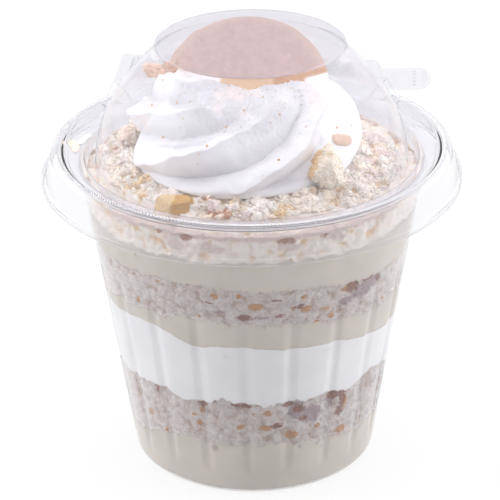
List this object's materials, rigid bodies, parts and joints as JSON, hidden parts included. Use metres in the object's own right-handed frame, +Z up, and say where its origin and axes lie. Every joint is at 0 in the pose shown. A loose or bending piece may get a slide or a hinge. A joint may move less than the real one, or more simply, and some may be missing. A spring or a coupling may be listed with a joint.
{
  "type": "parfait",
  "caption": "Layered custard, cake crumb and whipped cream parfait in a clear fluted cup with a snapped-down dome lid, tear strip and pull tab.",
  "frame": {"origin": "centre of the cup's flat base, on the surface the cup stands on", "axes": "+Z up along the cup's axis; +Y towards the tear strip at the back; the front is -Y; +X towards the pull tab's free end"},
  "size_m": [0.1072, 0.1054, 0.1121],
  "materials": {
    "clear_plastic": "clear glossy formed plastic sheet",
    "custard": "smooth soft custard, pale cream-beige, faint sheen",
    "cake_crumbs": "coarse pale cake crumbs with tan and reddish-brown bits",
    "whipped_cream": "soft white whipped cream",
    "wafer": "baked golden wafer, browner at the edge, grains of sugar"
  },
  "bodies": {
    "root": {"cup": "clear_plastic", "lid": "clear_plastic", "tear_strip": "clear_plastic", "custard_bottom": "custard", "crumble_lower": "cake_crumbs", "cream_middle": "whipped_cream", "custard_middle": "custard", "crumble_middle": "cake_crumbs", "custard_top": "custard", "crumble_top": "cake_crumbs", "whipped_cream": "whipped_cream", "wafer_cookie": "wafer", "wafer_piece_front": "wafer", "wafer_sliver": "wafer", "cake_piece_left": "cake_crumbs", "cake_piece_right": "cake_crumbs"}
  },
  "joints": []
}
